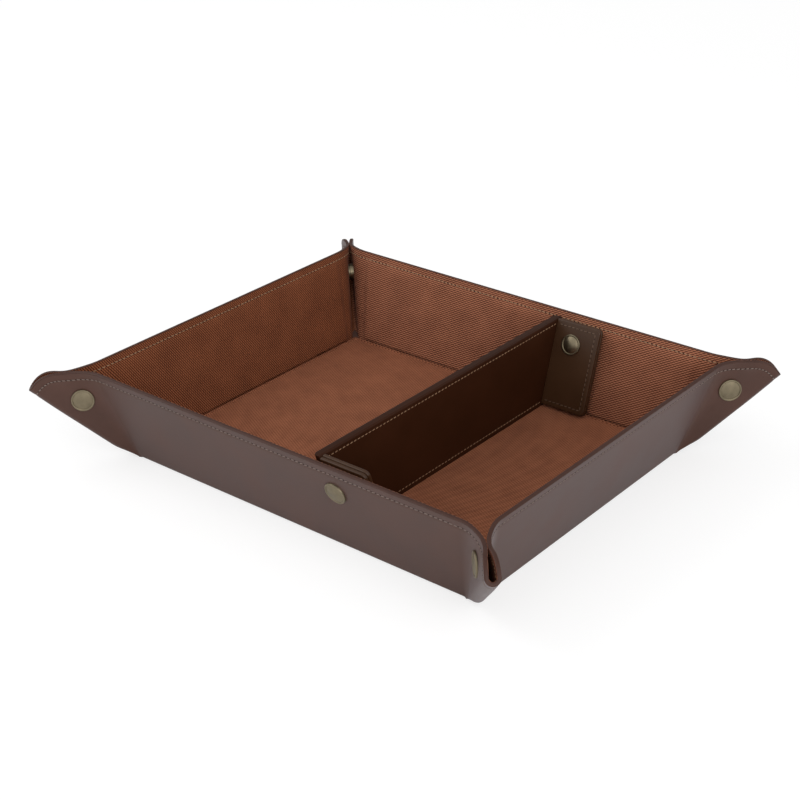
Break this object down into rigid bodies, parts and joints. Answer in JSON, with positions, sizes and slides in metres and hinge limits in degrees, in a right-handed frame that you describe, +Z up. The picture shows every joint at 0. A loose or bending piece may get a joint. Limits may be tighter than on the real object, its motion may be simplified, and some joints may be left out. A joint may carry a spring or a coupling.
{
  "type": "valet tray",
  "caption": "Shallow rectangular leather valet tray with leaning walls, pinched snap-fastened corners and a snapped-in divider; opens out flat.",
  "frame": {"origin": "centre of the underside of the base, on the surface that the tray stands on", "axes": "+Z up, +X along the tray's long side, +Y from the front wall to the back wall"},
  "size_m": [0.3334, 0.2834, 0.058],
  "materials": {
    "leather": "satin grain",
    "lining": "woven twill",
    "board": "pressed board",
    "brass": "antique satin"
  },
  "bodies": {
    "tray_base": {"base_leather": "leather", "base_board": "board", "base_lining": "lining", "divider_board": "board", "divider_leather": "leather"},
    "front_wall": {"front_wall_leather": "leather", "front_wall_board": "board", "front_wall_lining": "lining", "front_wall_snap_cap": "brass", "front_wall_snap_stud": "brass"},
    "right_wall": {"right_wall_leather": "leather", "right_wall_board": "board", "right_wall_lining": "lining"},
    "back_wall": {"back_wall_leather": "leather", "back_wall_board": "board", "back_wall_lining": "lining", "back_wall_snap_cap": "brass", "back_wall_snap_stud": "brass"},
    "left_wall": {"left_wall_leather": "leather", "left_wall_board": "board", "left_wall_lining": "lining"},
    "front_right_ear_front_half": {"front_right_ear_front_half_leather": "leather", "front_right_ear_front_half_lining": "lining", "front_right_ear_front_half_snap_cap": "brass", "front_right_ear_front_half_snap_socket": "brass"},
    "front_right_ear_right_half": {"front_right_ear_right_half_leather": "leather", "front_right_ear_right_half_lining": "lining", "front_right_ear_right_half_snap_cap": "brass", "front_right_ear_right_half_snap_stud": "brass"},
    "back_right_ear_back_half": {"back_right_ear_back_half_leather": "leather", "back_right_ear_back_half_lining": "lining", "back_right_ear_back_half_snap_cap": "brass", "back_right_ear_back_half_snap_socket": "brass"},
    "back_right_ear_right_half": {"back_right_ear_right_half_leather": "leather", "back_right_ear_right_half_lining": "lining", "back_right_ear_right_half_snap_cap": "brass", "back_right_ear_right_half_snap_stud": "brass"},
    "back_left_ear_back_half": {"back_left_ear_back_half_leather": "leather", "back_left_ear_back_half_lining": "lining", "back_left_ear_back_half_snap_cap": "brass", "back_left_ear_back_half_snap_socket": "brass"},
    "back_left_ear_left_half": {"back_left_ear_left_half_leather": "leather", "back_left_ear_left_half_lining": "lining", "back_left_ear_left_half_snap_cap": "brass", "back_left_ear_left_half_snap_stud": "brass"},
    "front_left_ear_front_half": {"front_left_ear_front_half_leather": "leather", "front_left_ear_front_half_lining": "lining", "front_left_ear_front_half_snap_cap": "brass", "front_left_ear_front_half_snap_socket": "brass"},
    "front_left_ear_left_half": {"front_left_ear_left_half_leather": "leather", "front_left_ear_left_half_lining": "lining", "front_left_ear_left_half_snap_cap": "brass", "front_left_ear_left_half_snap_stud": "brass"},
    "divider_front_tab": {"divider_front_tab_leather": "leather", "divider_front_tab_snap_cap": "brass", "divider_front_tab_snap_socket": "brass"},
    "divider_back_tab": {"divider_back_tab_leather": "leather", "divider_back_tab_snap_cap": "brass", "divider_back_tab_snap_socket": "brass"}
  },
  "joints": [
    {"name": "front_wall_fold", "type": "hinge", "parent": "tray_base", "child": "front_wall", "pos_m": [0, -0.1, 0], "axis": [1, 0, 0], "range_deg": [0, 72.5]},
    {"name": "right_wall_fold", "type": "hinge", "parent": "tray_base", "child": "right_wall", "pos_m": [0.125, 0, 0], "axis": [0, 1, 0], "range_deg": [0, 72.5]},
    {"name": "back_wall_fold", "type": "hinge", "parent": "tray_base", "child": "back_wall", "pos_m": [0, 0.1, 0], "axis": [-1, 0, 0], "range_deg": [0, 72.5]},
    {"name": "left_wall_fold", "type": "hinge", "parent": "tray_base", "child": "left_wall", "pos_m": [-0.125, 0, 0], "axis": [0, -1, 0], "range_deg": [0, 72.5]},
    {"name": "front_right_ear_front_half_fold", "type": "hinge", "parent": "front_wall", "child": "front_right_ear_front_half", "pos_m": [0.11963, -0.1, 0], "axis": [0.288, -0.288, 0.9133], "range_deg": [0, 47.6]},
    {"name": "front_right_ear_right_half_fold", "type": "hinge", "parent": "right_wall", "child": "front_right_ear_right_half", "pos_m": [0.125, -0.09463, 0], "axis": [-0.288, 0.288, -0.9133], "range_deg": [0, 47.6]},
    {"name": "back_right_ear_back_half_fold", "type": "hinge", "parent": "back_wall", "child": "back_right_ear_back_half", "pos_m": [0.11963, 0.1, 0], "axis": [-0.288, -0.288, -0.9133], "range_deg": [0, 47.6]},
    {"name": "back_right_ear_right_half_fold", "type": "hinge", "parent": "right_wall", "child": "back_right_ear_right_half", "pos_m": [0.125, 0.09463, 0], "axis": [0.288, 0.288, 0.9133], "range_deg": [0, 47.6]},
    {"name": "back_left_ear_back_half_fold", "type": "hinge", "parent": "back_wall", "child": "back_left_ear_back_half", "pos_m": [-0.11963, 0.1, 0], "axis": [-0.288, 0.288, 0.9133], "range_deg": [0, 47.6]},
    {"name": "back_left_ear_left_half_fold", "type": "hinge", "parent": "left_wall", "child": "back_left_ear_left_half", "pos_m": [-0.125, 0.09463, 0], "axis": [0.288, -0.288, -0.9133], "range_deg": [0, 47.6]},
    {"name": "front_left_ear_front_half_fold", "type": "hinge", "parent": "front_wall", "child": "front_left_ear_front_half", "pos_m": [-0.11963, -0.1, 0], "axis": [0.288, 0.288, -0.9133], "range_deg": [0, 47.6]},
    {"name": "front_left_ear_left_half_fold", "type": "hinge", "parent": "left_wall", "child": "front_left_ear_left_half", "pos_m": [-0.125, -0.09463, 0], "axis": [-0.288, -0.288, 0.9133], "range_deg": [0, 47.6]},
    {"name": "divider_front_tab_fold", "type": "hinge", "parent": "tray_base", "child": "divider_front_tab", "pos_m": [0.0326, -0.08826, 0], "axis": [0, -0.3007, 0.9537], "range_deg": [0, 75]},
    {"name": "divider_back_tab_fold", "type": "hinge", "parent": "tray_base", "child": "divider_back_tab", "pos_m": [0.0326, 0.08826, 0], "axis": [0, -0.3007, -0.9537], "range_deg": [0, 75]}
  ],
  "couplings": [
    {"joint": "right_wall_fold", "follows": "front_wall_fold", "ratio": 1},
    {"joint": "back_wall_fold", "follows": "front_wall_fold", "ratio": 1},
    {"joint": "left_wall_fold", "follows": "front_wall_fold", "ratio": 1},
    {"joint": "front_right_ear_front_half_fold", "follows": "front_wall_fold", "ratio": 0.65647},
    {"joint": "front_right_ear_right_half_fold", "follows": "front_wall_fold", "ratio": 0.65647},
    {"joint": "back_right_ear_back_half_fold", "follows": "front_wall_fold", "ratio": 0.65647},
    {"joint": "back_right_ear_right_half_fold", "follows": "front_wall_fold", "ratio": 0.65647},
    {"joint": "back_left_ear_back_half_fold", "follows": "front_wall_fold", "ratio": 0.65647},
    {"joint": "back_left_ear_left_half_fold", "follows": "front_wall_fold", "ratio": 0.65647},
    {"joint": "front_left_ear_front_half_fold", "follows": "front_wall_fold", "ratio": 0.65647},
    {"joint": "front_left_ear_left_half_fold", "follows": "front_wall_fold", "ratio": 0.65647}
  ]
}
